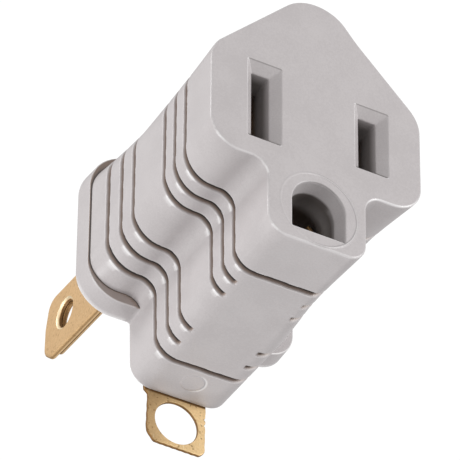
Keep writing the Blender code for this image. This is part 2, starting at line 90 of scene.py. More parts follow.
# Distances behind the face, and how much nearer to it the wings and the roof carry what is cut there
GROOVE_LEAD = ((0.5, 6.8, 9.15, 11.5, 18.3, 20.9, 23.5, 26.5), (0.0, 0.85, 0.75, 0.7, 0.4, 0.3, 0.15, 0.0))
GROOVE_LEAD_FROM = (-10, -3)  # heights where that starts and where it is full
GROOVE_WIDTH = 0.8
GROOVE_DEPTH = 0.7
PANEL_HALF_WIDTH = 4.2
PANEL_FADE = 0.3
PANEL_ASIDE = 0.75  # how much sooner it ends on the right

# Painted highlight across the rounded edges of the face, the flange's rim and the wall side, from front to
# back
FACE_EDGE_LIGHT = (0.0, 0.35, 0.9, 1.0, 0.7, 0.25, 0.0)
RIM_LIGHT = (0.0, 0.3, 0.7, 0.8, 0.5, 0.2, 0.0)
WALL_EDGE_LIGHT = (1.1, 1.1, 0.8, 0.3, 0.0)
# Ways that an outline faces where its painted highlight is strongest, and the cosines between which it comes
# up
CORNER_SHINE = (-0.66, -0.75)
FILLET_SHINE = (-0.93, -0.37)
SHINE_WINDOW = (0.97, 0.992)

# Openings of the socket face
BLADE_X = 6.35
SLOT_HALF_WIDTH = 1.05
NEUTRAL_HALF_HEIGHT = 4.1
HOT_HALF_HEIGHT = 3.25
PIN_HALF_WIDTH = 2.75
PIN_ARCH = -11.3
PIN_FLOOR = -14.3
POCKET_AT = 4.8
POCKET_END = 19.0
# Their mouths, as (distance behind the face, growth of the outline)
SLOT_MOUTH = [(0.0, 1.05), (0.012, 1.02), (0.045, 0.97), (0.1, 0.9), (0.92, 0.08), (0.98, 0.02), (1.05, 0.0),
              (1.2, 0.0)]
PIN_MOUTH = [(0.0, 0.52), (0.02, 0.44), (0.06, 0.39), (0.13, 0.345), (0.25, 0.31), (1.5, 0.04), (1.6, 0.0),
             (1.8, 0.0)]
SLOT_DARKENS = (0.95, 4.8)  # distances between which the painted shade on the walls comes up
PIN_DARKENS = (1.55, 2.05)

# Blades and the leaves inside
STRIP = 0.62
HOLE_POINTS = 64
NEUTRAL_HALF_WIDTH = 4.08
HOT_HALF_WIDTH = 3.175
BLADE_TIP = 17.49
BLADE_ROOT = -7.2
BLADE_HOLE_AT = 12.85
BLADE_HOLE_UP = 0.18
BLADE_TILT = 1.6  # degrees that the blade seen in the photograph is bent up
BLADE_SPREAD = 0.1  # how far its tip stands aside, for each degree of that bend
FAR_LAYER_SHORT = 1.9
FAR_LAYER_RISE = 0.35
# Rims as (depth, inset, painted shade) and holes as (depth, radius, painted shade); below 0 is a painted
# highlight
NEAR_RIM = [(0, 0.42, 0), (0.03, 0.31, 0), (0.08, 0.2, 0.15), (0.15, 0.1, 0.5), (0.23, 0.03, 0.6),
            (0.32, 0, 0.45), (0.4, 0, 0.1), (0.46, 0, -0.4), (0.54, 0.02, -0.4), (0.59, 0.07, 0.6),
            (0.61, 0.16, 1)]
NEAR_HOLE = [(0, 1.93, 0), (0.02, 1.89, -1), (0.08, 1.8, -1), (0.16, 1.71, -0.7), (0.22, 1.65, -0.1),
             (0.27, 1.62, 0.8), (0.36, 1.6, 0.75), (0.57, 1.6, 0.7), (0.61, 1.65, 0.9)]
FAR_RIM = [(0.63, 0.16, 1), (0.65, 0.07, 1), (0.7, 0.02, 1), (0.78, 0, 1), (0.86, 0, 0.9), (0.92, 0, -0.1),
           (1.04, 0.03, -0.3), (1.13, 0.09, -0.3), (1.2, 0.18, 0), (1.24, 0.26, 0)]
FAR_HOLE = [(0.63, 1.57, 1), (0.66, 1.52, 0.9), (1.0, 1.52, 0.6), (1.12, 1.6, 0.4), (1.2, 1.7, 0),
            (1.24, 1.78, 0)]
LEAF_ALONG = (-24.7, -23.1, -16.65, -10.2, -7.2, -6.6)
LEAF_ASIDE = (1.3, 0.9, 1.1, 0.9, 0.31, 0.31)
LEAF_THICKNESS = 0.6

# Ground strip: sleeve, tail and tab
SHEET = 0.4
PIN_CENTRE = -11.9
SLEEVE_RADIUS = 2.55
SLEEVE_GAP = 70.0
SLEEVE_START = -24.7
SLEEVE_LENGTH = 12.5
TAIL_HALF_WIDTH = 3.9
TAIL_HEIGHT = -14.25
TAIL_LENGTH = 15.0
BEND_RADIUS = 0.5
TAB_NICKS = ((4.85, 0.13, 0.16), (4.1, 0.12, 0.13))  # distance up from its end, width and depth of each
TAB_END = -22.9
BEND_AT = TAIL_HEIGHT - BEND_RADIUS - SHEET - TAB_END  # where the bend starts, up from the tab's end
TAB_HOLE_AT = -19.7
TAB_HOLE_RADIUS = 2.55
SHADOW_ROWS = (6.16, 6.22, 6.5)  # where the painted shadow under the lobe starts, is full and goes on

# Mould marks: the ring round the ground hole and the round mark under the lobe
COLLAR = {"Centre": (0, 0, -11.6 * MM), "Plane": (1, 0, 1), "Radius": 4.48 * MM, "Width": 0.2 * MM}
EJECTOR = {"Centre": (0.1 * MM, -3.2 * MM, 0), "Plane": (1, 1, 0), "Radius": 1.4 * MM, "Width": 0.24 * MM}
FACE_FRONT_OF = -29.4  # what lies further forward is the socket face
LOBE_UNDER = -15.9  # what lies lower is the lobe's underside

# Finishes, with the colours of painted shade and painted highlights
VINYL_LIGHT = (0.560, 0.526, 0.528, 1)
VINYL_DARK = (0.519, 0.486, 0.488, 1)
VINYL_PAINTED_HIGHLIGHT = (0.86, 0.84, 0.84, 1)
VINYL_GRIME_AND_SHADE = (0.33, 0.25, 0.21, 1)
VINYL_GROOVE_SHADE = (0.075, 0.07, 0.07, 1)
VINYL_INSIDE_SHADE = (0.1, 0.085, 0.077, 1)

BLADE_BRASS = (0.86, 0.58, 0.305)
TAB_BRASS = (0.87, 0.635, 0.34)
BRASS_TARNISH_AND_SHADE = (0.26, 0.14, 0.05, 1)
BRASS_SCRATCH_AND_HIGHLIGHT = (0.95, 0.8, 0.55, 1)

# Camera fitted to the photograph
AIM_AWAY = (0.383131, 0.686394, 0.618121)
AIM_UP = (-0.308761, -0.535524, 0.786054)
EYE = (-195.95, -362.1, -317.75)
LENS = 381.4

# Studio
LIGHTS_AIM = (0, -0.013, -0.003)  # the point that the lights face, in metres
SURROUNDINGS_LIGHT = 0.48  # strength of the light they give
SURROUNDINGS_SEEN = 1.05  # strength that the camera sees


def rounded_outline(corners, radii, arc_pieces, edge_pieces):
    """Points and outward normals of V clockwise outlines of K rounded corners.

    corners is (V, K, 2) and radii (V, K). Each corner becomes an arc whose centre lies on its bisector,
    radius / sin(half the corner's angle) away. The arc's points are centre + radius * (cos a, sin a), with a
    running evenly from one tangent point to the other. The straight edges between arcs are divided evenly.
    """
    back = np.roll(corners, 1, axis=1) - corners
    ahead = np.roll(corners, -1, axis=1) - corners
    back = back / np.linalg.norm(back, axis=2, keepdims=True)
    ahead = ahead / np.linalg.norm(ahead, axis=2, keepdims=True)
    half = np.arccos(np.clip((back * ahead).sum(2), -1, 1)) / 2
    bisector = (back + ahead) / np.linalg.norm(back + ahead, axis=2, keepdims=True)
    centre = corners + bisector * (radii / np.sin(half))[..., None]
    start = corners + back * (radii / np.tan(half))[..., None] - centre
    end = corners + ahead * (radii / np.tan(half))[..., None] - centre
    first = np.arctan2(start[..., 1], start[..., 0])
    turn = np.arctan2(end[..., 1], end[..., 0]) - first
    turn = (turn + np.pi) % (2 * np.pi) - np.pi
    outward = np.where(turn < 0, 1.0, -1.0)[..., None, None]
    points = []
    normals = []
    for k in range(corners.shape[1]):
        angle = first[:, k, None] + turn[:, k, None] * np.linspace(0, 1, arc_pieces[k] + 1)
        spoke = np.stack([np.cos(angle), np.sin(angle)], -1)
        points.append(centre[:, k, None] + radii[:, k, None, None] * spoke)
        normals.append(outward[:, k] * spoke)
        following = (k + 1) % corners.shape[1]
        leave = (centre + end)[:, k, None]
        arrive = (centre + start)[:, following, None]
        share = np.linspace(0, 1, edge_pieces[k] + 1)[1:-1, None]
        points.append(leave + (arrive - leave) * share)
        normals.append(np.repeat(normals[-1][:, -1:], len(share), axis=1))
    return np.concatenate(points, 1), np.concatenate(normals, 1)


def mirrored(right):
    """Clockwise corners of a symmetrical outline from its right half: (V, K, 2) becomes (V, 2K, 2)."""
    left = right[:, ::-1] * np.array([-1.0, 1.0])
    return np.concatenate([right, left], axis=1)


def smooth_step(value, low, high):
    """0 below low and 1 above high, with 3t^2 - 2t^3 between them."""
    t = np.clip((value - low) / (high - low), 0, 1)
    return t * t * (3 - 2 * t)


def eased(name, along):
    """A size behind the face: falls to the waist as (1 - along / waist) ^ 1.65, then grows as a power."""
    waist = WAIST_AT[name]
    ahead = WAIST[name] + (FRONT[name] - WAIST[name]) * np.clip(1 - along / waist, 0, 1) ** WAIST_EASE
    beyond = np.clip((along - waist) / (FLANGE_ALONG - waist), 0, 1)
    behind = WAIST[name] + (FOOT[name] - WAIST[name]) * beyond ** FOOT_EASE[name]
    return np.where(along < waist, ahead, behind)


def housing_sections(along):
    """Outlines of the roof, wings and ground lobe at each distance behind the face, with their normals."""
    half_width = eased("half_width", along)
    roof = eased("roof", along)
    shoulder = eased("shoulder", along)
    share = np.clip(along / FLANGE_ALONG, 0, 1)
    depth = LOBE_FRONT["depth"] + (LOBE_REAR["depth"] - LOBE_FRONT["depth"]) * share
    bottom_half = LOBE_FRONT["bottom_half"] + (LOBE_REAR["bottom_half"] - LOBE_FRONT["bottom_half"]) * share
    same = np.ones_like(along)
    right = np.stack([
        np.stack([half_width, roof - half_width], -1),
        np.stack([half_width, -shoulder], -1),
        np.stack([LOBE_TOP_HALF * same, -shoulder], -1),
        np.stack([bottom_half, -depth], -1),
    ], axis=1)
    lean = ROOF_LEAN * (1 - share)
    apex = np.stack([-lean, roof], -1)[:, None]
    corners = np.concatenate([apex, mirrored(right)], axis=1)
    corners[:, 1, 1] -= lean
    corners[:, -1, 1] += lean
    lobe_corner = LOBE_CORNER + LOBE_CORNER_GROWTH * share
    side = [eased("roof_corner", along), WING_CORNER * same, LOBE_FILLET * same, lobe_corner]
    radii = np.stack([APEX_RADIUS * same] + side + side[::-1], axis=1)
    arcs = [24, 14, 18, 14, 18, 18, 14, 18, 14]
    edges = [16, 44, 3, 10, 36, 10, 3, 44, 16]
    points, normals = rounded_outline(corners, radii, arcs, edges)
    drawn_in = np.interp(along, *RIGHT_DRAWN_IN)[:, None]
    points[..., 0] -= drawn_in * smooth_step(points[..., 0], *DRAWN_IN_FROM)
    return points, normals


def off_panel(points):
    """0 on the plain panel under the lobe and 1 beside it, where the inner grooves are cut."""
    under = points[..., 1] < LOBE_CORNER - LOBE_REAR["depth"]
    across = np.maximum(-points[..., 0], points[..., 0] + PANEL_ASIDE)
    beside = smooth_step(across, PANEL_HALF_WIDTH, PANEL_HALF_WIDTH + PANEL_FADE)
    return np.where(under, beside, 1.0)


def groove_depths(along, points):
    """How deep the grooves are at each point: a steep front wall, a round floor and a long rear slope.

    Each groove is the product of two smooth steps of t = (along - start) / width. The inner ones fade out on
    the plain panel under the lobe, and the first one's front lip is a little ragged at the upper left.
    """
    depths = np.zeros(points.shape[:2])
    across, up = points[..., 0], points[..., 1]
    wander = 0.025 * np.sin(1.7 * across + 2.3 * up) + 0.016 * np.sin(5.1 * up - 3.3 * across)
    ragged = 0.09 * np.sin(7.3 * up) * np.sin(4.1 * up + 1.1) * smooth_step(up, -1, 2) * (across < 0)
    for start, all_round in zip(GROOVES, ALL_ROUND):
        t = ((along - start)[:, None] - wander) / GROOVE_WIDTH
        lip = t - ragged if start == GROOVES[0] else t
        profile = smooth_step(lip, -0.03, 0.13) * (1 - smooth_step(t, 0.56, 1.03))
        depths += profile * (1.0 if all_round else off_panel(points))
    return depths * GROOVE_DEPTH


def shine_of(points, normals):
    """Where a rounded edge gets a painted highlight: on corners that face down left, and further down in the
    lobe's fillets.
    """
    outer = smooth_step(normals @ np.array(CORNER_SHINE), *SHINE_WINDOW)
    inner = smooth_step(normals @ np.array(FILLET_SHINE), *SHINE_WINDOW)
    on_fillet = (np.abs(points[..., 0]) < LOBE_TOP_HALF + LOBE_FILLET) & (points[..., 1] > LOBE_LOWER_PART)
    return np.where(on_fillet, inner, outer)


def lip_light(along, points, normals):
    """Painted highlight on the edges of the grooves: a faint front lip, and a rear lip with short bright
    streaks.
    """
    corner = shine_of(points, normals)
    light = np.zeros(points.shape[:2])
    for start, all_round in zip(GROOVES, ALL_ROUND):
        t = ((along - start) / GROOVE_WIDTH)[:, None]
        front = smooth_step(t, -0.14, -0.07) * (1 - smooth_step(t, -0.02, 0.03))
        rear = smooth_step(t, 0.9, 0.99) * (1 - smooth_step(t, 1.1 + 0.06 * corner, 1.2 + 0.12 * corner))
        shown = 1.0 if all_round else off_panel(points)
        light += (0.5 * front + rear * (0.12 + 1.6 * corner)) * shown
    return light


def groove_stations():
    """Distances behind the face, close together through each groove."""
    stops = [FACE_EDGE] + [edge for start in GROOVES for edge in (start - 0.1, start + 1.0)] + [FLANGE_ALONG]
    pieces = []
    for index, (near, far) in enumerate(zip(stops, stops[1:])):
        count = 24 if index % 2 else max(4, round((far - near) / 0.5))
        pieces.append(np.linspace(near, far, count, endpoint=False))
    return np.append(np.concatenate(pieces), FLANGE_ALONG - 0.03)


def ring_normals(rings):
    """Outward normals of clockwise rings: each chord between neighbours turned a quarter to the left."""
    chord = np.roll(rings, -1, axis=1) - np.roll(rings, 1, axis=1)
    turned = np.stack([-chord[..., 1], chord[..., 0]], -1)
    return turned / np.linalg.norm(turned, axis=2, keepdims=True)


def flange_outlines(inset):
    """The flange's rounded rectangle, drawn in by each inset."""
    right = np.stack([
        np.stack([FLANGE_HALF_WIDTH - inset, FLANGE_TOP - inset], -1),
        np.stack([FLANGE_HALF_WIDTH - inset, inset - FLANGE_BOTTOM], -1),
    ], axis=1)
    top = np.maximum(FLANGE_TOP_CORNER - inset, 0.4)
    left = np.maximum(FLANGE_LEFT_CORNER - inset, 0.4)
    right_corner = np.maximum(FLANGE_RIGHT_CORNER - inset, 0.4)
    radii = np.stack([top, right_corner, left, top], axis=1)
    points = rounded_outline(mirrored(right), radii, [40] * 4, [60] * 4)[0]
    points[..., 0] += FLANGE_RIGHT_REACH * smooth_step(points[..., 0], *FLANGE_REACH_FROM)
    return points


def joined_sections(along, inset):
    """Housing and flange as one outline.

    About the centre (0, -4) each outline is a radius over the angle. The joined radius is the softened larger
    one, (a + b + sqrt((a - b)^2 + crease^2)) / 2, taken at the angles of the housing's own points.
    """
    centre = np.array([0.0, -4.0])
    housing = housing_sections(along)[0] - centre
    flange = flange_outlines(inset) - centre
    angle = np.arctan2(housing[..., 1], housing[..., 0])
    near = np.linalg.norm(housing, axis=2)
    flange_angle = np.arctan2(flange[..., 1], flange[..., 0])
    flange_radius = np.linalg.norm(flange, axis=2)
    far = np.empty_like(near)
    for row in range(len(along)):
        far[row] = np.interp(angle[row], flange_angle[row], flange_radius[row], period=2 * np.pi)
    joined = (near + far + np.sqrt((near - far) ** 2 + CREASE ** 2)) / 2
    return centre + housing * (joined / near)[..., None]


def at_depth(rings, along):
    """Outlines (V, N, 2) placed at their distances behind the face, as points (V, N, 3)."""
    y = np.broadcast_to((along - LENGTH)[:, None], rings.shape[:2])
    return np.stack([rings[..., 0], y, rings[..., 1]], -1)


def lead_in_front(along, rings):
    """How much nearer to the face the wings and the roof carry the grooves than the lobe does."""
    return np.interp(along, *GROOVE_LEAD)[:, None] * smooth_step(rings[..., 1], *GROOVE_LEAD_FROM)


def front_skin():
    """The housing from the face's rounded edge to the flange: rings, their grime and painted shade, and their
    painted highlight.
    """
    turn = np.radians(np.linspace(0, 90, 7)[:-1])
    edge_along = FACE_EDGE * (1 - np.cos(turn))
    edge_inset = FACE_EDGE * (1 - np.sin(turn))
    along = np.concatenate([edge_along, groove_stations()])
    inset = np.concatenate([edge_inset, np.zeros(len(along) - len(edge_along))])
    points, normals = housing_sections(along)
    depths = groove_depths(along, points)
    rings = at_depth(points - normals * (inset[:, None] + depths)[..., None], along)
    rings[..., 1] -= lead_in_front(along, points)
    edge_light = np.zeros(len(along))
    edge_light[:len(edge_along) + 1] = FACE_EDGE_LIGHT
    right_wing = (points[..., 0] > 0) & (points[..., 1] > LOBE_LOWER_PART)
    faces_down = smooth_step(-normals[..., 1], 0.1, 0.8)
    bright = shine_of(points, normals) + faces_down * np.where(right_wing, 1.0, 0.3)
    edge_light = edge_light[:, None] * (0.28 + 0.72 * np.minimum(bright, 1))
    # Grime and painted shade grow with the grooves' depth; painted highlights lie on their lips and on the
    # face's rounded edge
    return rings, depths / GROOVE_DEPTH, lip_light(along, points, normals) + edge_light


def flange_skin():
    """The ledge that steps out to the flange, its rounded rim and its side, with their painted shade and
    painted highlight.
    """
    ledge = np.linspace(LEDGE_REACH, FLANGE_DRAFT + FLANGE_EDGE, 14)
    ledge_along = FLANGE_ALONG + LEDGE_SLOPE * np.linspace(0, 1, 14)
    turn = np.radians(np.linspace(0, 90, 7)[1:])
    rim = FLANGE_DRAFT + FLANGE_EDGE * (1 - np.sin(turn))
    rim_along = ledge_along[-1] + FLANGE_EDGE * (1 - np.cos(turn))
    side = FLANGE_DRAFT * (1 - np.linspace(0, 1, 6)[1:])
    side_along = np.linspace(rim_along[-1], LENGTH - WALL_EDGE, 6)[1:]
    along = np.concatenate([ledge_along, rim_along, side_along])
    rings = joined_sections(along, np.concatenate([ledge, rim, side]))
    step_out = np.linalg.norm(rings - housing_sections(along)[0], axis=2)
    widest = step_out[len(ledge) + len(rim) - 1]
    # Painted shade on the ledge: darkest in the crease beside the housing, stronger on its upper part, none
    # on the lower right
    high = smooth_step(rings[..., 1], 2, 5)
    grime_and_shade = 0.27 + 0.2 * high + (0.45 - 0.2 * high) * (1 - smooth_step(step_out, 0.05, 0.35))
    grime_and_shade *= smooth_step(widest, 0.05, 0.15) * smooth_step(widest - step_out, 0.01, 0.07)
    lower_right = (rings[..., 0] > 0) & (rings[..., 1] < -2)
    grime_and_shade *= np.where(lower_right, 0.0, 1.0)
    light = np.zeros(len(along))
    light[len(ledge) - 1:len(ledge) + len(rim)] = RIM_LIGHT
    light[-1] = 0.8
    return at_depth(rings, along), grime_and_shade, light[:, None] * smooth_step(widest, 0.3, 0.7)


def wall_edge_skin():
    """The rounded edge between the flange's side and its flat wall side, without painted shade and with a
    painted highlight.
    """
    turn = np.radians(np.linspace(0, 90, 6)[1:])
    along = LENGTH - WALL_EDGE * (1 - np.sin(turn))
    last = np.repeat(joined_sections(along[-1:], np.zeros(1)), len(along), axis=0)
    inset = WALL_EDGE * (1 - np.cos(turn))
    rings = last - ring_normals(last) * inset[:, None, None]
    light = np.array(WALL_EDGE_LIGHT)[:, None] * np.ones(last.shape[1])
    return at_depth(rings, along), np.zeros(last.shape[:2]), light


def opening_tones(depth, normals, darkens, round_top):
    """The painted shade and painted highlight on an opening's walls, with thin lines of painted shade above
    and below its mouth.

    The painted shade on the walls comes up between two distances. A round top's ceiling is shaded from the
    first of them, and a slot is most of the way there soon behind it. The deepest part is a little less
    shaded again.
    """
    start, full = darkens
    up = normals[..., 1]
    shade = smooth_step(depth, start, full) * np.ones(normals.shape[1])
    if round_top:
        ceiling = smooth_step(up - 0.6 * normals[..., 0], -0.2, 0.35)
        shade = 0.88 * np.maximum(shade, ceiling * smooth_step(depth, start - 0.05, start + 0.15))
    else:
        shade = np.maximum(shade, 0.72 * smooth_step(depth, start + 0.05, start + 0.6))
    shade = shade * (1 - 0.7 * smooth_step(depth, 2.4, POCKET_AT))
    floor_side = np.clip(-up, 0, 1)
    roof_side = np.clip(up, 0, 1)
    # Thin lines of painted shade on the floor just behind the lip and under its roof, and a painted highlight
    # on the lip, strongest where it faces down or left
    behind_lip = smooth_step(depth, 0.0, 0.012)
    under = 0.95 * floor_side * smooth_step(depth, 0.04, 0.1)
    over = 0.65 * roof_side * behind_lip * (1 - smooth_step(depth, 0.05, 0.1))
    shade = np.maximum(np.maximum(shade, under), over)
    facing = 0.9 * floor_side + 0.5 * np.clip(-normals[..., 0], 0, 1)
    gloss_and_highlight = behind_lip * (1 - smooth_step(depth, 0.03, 0.1)) * (0.1 + facing)
    return shade, gloss_and_highlight


def opening(centre_x, half_width, top, floor, mouth, pocket_grow, darkens, round_top=False):
    """The inside of an opening: rings (V, N, 3) from the face into its pocket, their painted shade and
    painted highlight.
    """
    throat = [(2.4, 0.0), (3.6, 0.0), (POCKET_AT, 0.0)]
    pocket = [(POCKET_AT + 0.02, pocket_grow), (8.0, pocket_grow), (POCKET_END, pocket_grow)]
    along, grow = np.array(mouth + throat + pocket).T
    right = np.stack([
        np.stack([half_width + grow, top + grow], -1),
        np.stack([half_width + grow, floor - grow], -1),
    ], axis=1)
    corner = np.maximum(0.14 + 0.1 * grow, 0.05)
    top_corner = (half_width + grow) * 0.995 if round_top else corner
    radii = np.stack([top_corner, corner, corner, top_corner], axis=1)
    arcs = [20, 4, 4, 20] if round_top else [4, 4, 4, 4]
    edges = [10, 6, 10, 2] if round_top else [10, 6, 10, 6]
    rings, normals = rounded_outline(mirrored(right), radii, arcs, edges)
    shade, gloss_and_highlight = opening_tones(along[:, None], normals, darkens, round_top)
    return at_depth(rings + np.array([centre_x, 0.0]), along), shade, gloss_and_highlight


def quads(rows, columns, first, inward=False):
    """Faces of a grid that closes on itself along its columns, numbered from first."""
    row, column = np.meshgrid(np.arange(rows - 1), np.arange(columns), indexing="ij")
    following = (column + 1) % columns
    corners = np.stack([row * columns + column, row * columns + following,
                        (row + 1) * columns + following, (row + 1) * columns + column], -1).reshape(-1, 4)
    return (corners[:, ::-1] if inward else corners) + first


def face_cap(outline, holes, spread=None):
    """Triangles between an outline and its holes, given as index arrays with their points.

    spread is one more such pair: loose points inside, which the triangles also pass through.
    """
    loops = [outline] + holes
    scattered = [spread] if spread else []
    numbers = np.concatenate([loop[0] for loop in loops + scattered])
    flat = np.concatenate([loop[1] for loop in loops + scattered])
    edges = []
    base = 0
    for indices, _ in loops:
        count = len(indices)
        ahead = (np.arange(count) + 1) % count
        edges += np.stack([np.arange(count) + base, ahead + base], -1).tolist()
        base += count
    made = delaunay_2d_cdt([Vector(point) for point in flat], edges, [], 1, 1e-7)
    triangles = np.array(made[2])
    origin = np.array([numbers[source[0]] for source in made[3]])
    middle = np.array([list(point) for point in made[0]])[triangles].mean(axis=1)
    inside = np.ones(len(triangles), bool)
    for _, ring in holes:
        inside &= ~within(middle, ring)
    inside &= within(middle, outline[1])
    return origin[triangles[inside]]


def within(points, ring):
    """Whether points lie inside a ring: an odd number of its edges crosses the ray to their right."""
    ahead = np.roll(ring, -1, axis=0)
    a, b = ring[None], ahead[None]
    p = points[:, None]
    spans = (a[..., 1] > p[..., 1]) != (b[..., 1] > p[..., 1])
    rise = np.where(a[..., 1] == b[..., 1], 1.0, b[..., 1] - a[..., 1])
    crossing = a[..., 0] + (p[..., 1] - a[..., 1]) * (b[..., 0] - a[..., 0]) / rise
    return (spans & (crossing > p[..., 0])).sum(axis=1) % 2 == 1


def mesh_object(name, points, faces, flat, attributes=None):
    """An object at the origin from points in millimetres; its last `flat` faces are shaded flat."""
    mesh = bpy.data.meshes.new(name)
    mesh.from_pydata((np.asarray(points) * MM).tolist(), [], [list(map(int, face)) for face in faces])
    smooth = np.ones(len(faces), bool)
    smooth[-flat:] = False
    mesh.polygons.foreach_set("use_smooth", smooth)
    for key, values in (attributes or {}).items():
        made = mesh.attributes.new(key, "FLOAT", "POINT")
        made.data.foreach_set("value", np.asarray(values, np.float32).ravel())
    mesh.update()
    made = bpy.data.objects.new(name, mesh)
    bpy.context.scene.collection.objects.link(made)
    return made


def plate(outline, depth, inset, bores=(), spread=None):
    """A flat plate with a shaped rim and round holes, in its own (across, depth, up) coordinates.

    outline is a clockwise ring; row v of the rim lies at depth[v], drawn in by inset[v] along the ring's
    normals. Each bore is (centre, depths, radii), a circle whose radius changes with depth. spread holds
    loose points that the flat sides also pass through.
    """
    normals = ring_normals(outline[None])[0]
    rings = outline - normals * inset[..., None]
    rows, around = inset.shape
    points = [placed(rings, depth)]
    skin = quads(rows, around, 0).tolist()
    near = (np.arange(around), rings[0])
    far = (np.arange(around) + (rows - 1) * around, rings[-1])
    near_holes = []
    far_holes = []
    base = rows * around
    for centre, depths, radii in bores:
        angle = np.linspace(0, -2 * np.pi, HOLE_POINTS, endpoint=False)
        circle = np.stack([np.cos(angle), np.sin(angle)], -1)
        bore = np.asarray(centre) + np.asarray(radii)[:, None, None] * circle
        points.append(placed(bore, np.asarray(depths)))
        skin += quads(len(radii), HOLE_POINTS, base, inward=True).tolist()
        near_holes.append((np.arange(HOLE_POINTS) + base, bore[0]))
        base += len(radii) * HOLE_POINTS
        far_holes.append((np.arange(HOLE_POINTS) + base - HOLE_POINTS, bore[-1]))
    near_spread = far_spread = None
    if spread is not None:
        points.append(placed(np.stack([spread, spread]), depth[[0, -1]]))
        near_spread = (np.arange(len(spread)) + base, spread)
        far_spread = (np.arange(len(spread)) + base + len(spread), spread)
    caps = face_cap(near, near_holes, near_spread).tolist()
    caps += face_cap(far, far_holes, far_spread)[:, ::-1].tolist()
    return np.concatenate(points), skin, caps


def placed(rings, depth):
    """Rings (V, N, 2) at their depths, as a flat list of (across, depth, up) points."""
    along = np.broadcast_to(np.asarray(depth, float)[:, None], rings.shape[:2])
    return np.stack([rings[..., 0], along, rings[..., 1]], -1).reshape(-1, 3)


def tube(rings, darkness):
    """Points, faces and darkness of a closed tube through (V, N, 3) rings, with a flat face at each end."""
    rows, around = rings.shape[:2]
    skin = quads(rows, around, 0).tolist()
    ends = [list(range(around))[::-1], list(range((rows - 1) * around, rows * around))]
    return rings.reshape(-1, 3), skin, ends, np.full(rows * around, darkness)


def rounded_rectangle(half_across, half_up, radius):
    """A clockwise ring of a rectangle with rounded corners."""
    right = np.array([[[half_across, half_up], [half_across, -half_up]]])
    return rounded_outline(mirrored(right), np.full((1, 4), radius), [4] * 4, [2] * 4)[0][0]


def joined(name, parts):
    """One object of several closed shells, each given as points, smooth faces, flat faces and darkness."""
    points = []
    skin = []
    flat = []
    dark = []
    base = 0
    for part_points, part_skin, part_flat, part_dark in parts:
        points.append(part_points)
        dark.append(part_dark)
        skin += [[index + base for index in face] for face in part_skin]
        flat += [[index + base for index in face] for face in part_flat]
        base += len(part_points)
    return mesh_object(name, np.concatenate(points), skin + flat, len(flat), {"dark": np.concatenate(dark)})


def blade_layer(outline, rim, bore):
    """One layer of a folded blade, with each point's painted shade, which is a painted highlight below 0.

    rim and bore hold rows across the layer's thickness. The rim's painted shade and highlight show only where
    it faces down or forwards.
    """
    depth, rolled, rim_dark = np.array(rim).T
    bore_depth, bore_radius, bore_dark = np.array(bore).T
    inset = np.broadcast_to(rolled[:, None], (len(depth), len(outline)))
    hole = ((-BLADE_HOLE_AT, BLADE_HOLE_UP), bore_depth, bore_radius)
    points, skin, caps = plate(outline, depth, inset, [hole])
    normals = ring_normals(outline[None])[0]
    facing = smooth_step(np.maximum(-normals[:, 1], -normals[:, 0]), 0.3, 0.7)
    dark = np.concatenate([(rim_dark[:, None] * facing).ravel(), np.repeat(bore_dark, HOLE_POINTS)])
    return points, skin, caps, dark


def blade(centre_x, half_width, tilt):
    """One strip folded double along its top edge, as two layers that touch above and leave a seam below.

    Each layer is seen from the side as (-y, z). The near one has a bowed tip, cut back further below than
    above; the far one ends before the tip and stops a little above the near one's lower edge. tilt turns both
    upwards, in degrees, and spreads the tip aside as the square of the distance from the wall.
    """
    top = half_width
    near = np.array([[
        (-16.7, top), (-BLADE_ROOT, top), (-BLADE_ROOT, -top), (-15.9, -top), (-BLADE_TIP, 1.35 - top),
        (-BLADE_TIP, top - 3.6),
    ]])
    near_radii = np.array([[1.9, 0.9, 0.9, 1.5, 1.3, 2.4]])
    near_outline = rounded_outline(near, near_radii, [10, 4, 4, 10, 10, 8], [40, 12, 40, 6, 10, 8])[0][0]
    end = FAR_LAYER_SHORT - BLADE_TIP
    edge = FAR_LAYER_RISE - top
    far = np.array([[(end, top), (-BLADE_ROOT, top), (-BLADE_ROOT, edge), (end, edge)]])
    far_outline = rounded_outline(far, np.array([[1.3, 0.9, 0.9, 0.8]]), [8, 4, 4, 8], [40, 12, 40, 12])[0][0]
    near_layer = blade_layer(near_outline, NEAR_RIM, NEAR_HOLE)
    far_layer = blade_layer(far_outline, FAR_RIM, FAR_HOLE)
    turn = np.radians(tilt)
    layers = []
    for points, skin, caps, dark in (near_layer, far_layer):
        y = -points[:, 0] * np.cos(turn) - points[:, 2] * np.sin(turn)
        z = points[:, 2] * np.cos(turn) - points[:, 0] * np.sin(turn)
        aside = tilt * BLADE_SPREAD * (np.maximum(y, 0) / BLADE_TIP) ** 2
        layers.append((np.stack([points[:, 1] + centre_x - STRIP - aside, y, z], -1), skin, caps, dark))
    return layers


def leaf(centre_x, side, half_width):
    """One sprung leaf: a rounded strip section carried along a bowed path in the horizontal plane."""
    along = np.linspace(LEAF_ALONG[0], LEAF_ALONG[-1], 60)
    aside = np.interp(along, LEAF_ALONG, LEAF_ASIDE)
    soft = np.convolve(np.pad(aside, 2, mode="edge"), np.full(5, 0.2), mode="valid")
    section = rounded_rectangle(LEAF_THICKNESS / 2, half_width - 0.05, 0.12)
    x = centre_x + side * soft[:, None] + section[None, :, 0]
    y = np.broadcast_to(along[:, None], x.shape)
    z = np.broadcast_to(section[None, :, 1], x.shape)
    return tube(np.stack([x, y, z], -1), 0.5)


def build_blade_contact(name, node, centre_x, half_width, tilt, material):
    """The folded blade and, inside the housing, the two leaves that it opens into."""
    leaves = [leaf(centre_x, side, half_width) for side in (-1, 1)]
    finish_piece(joined(name, blade(centre_x, half_width, tilt) + leaves), material, node)


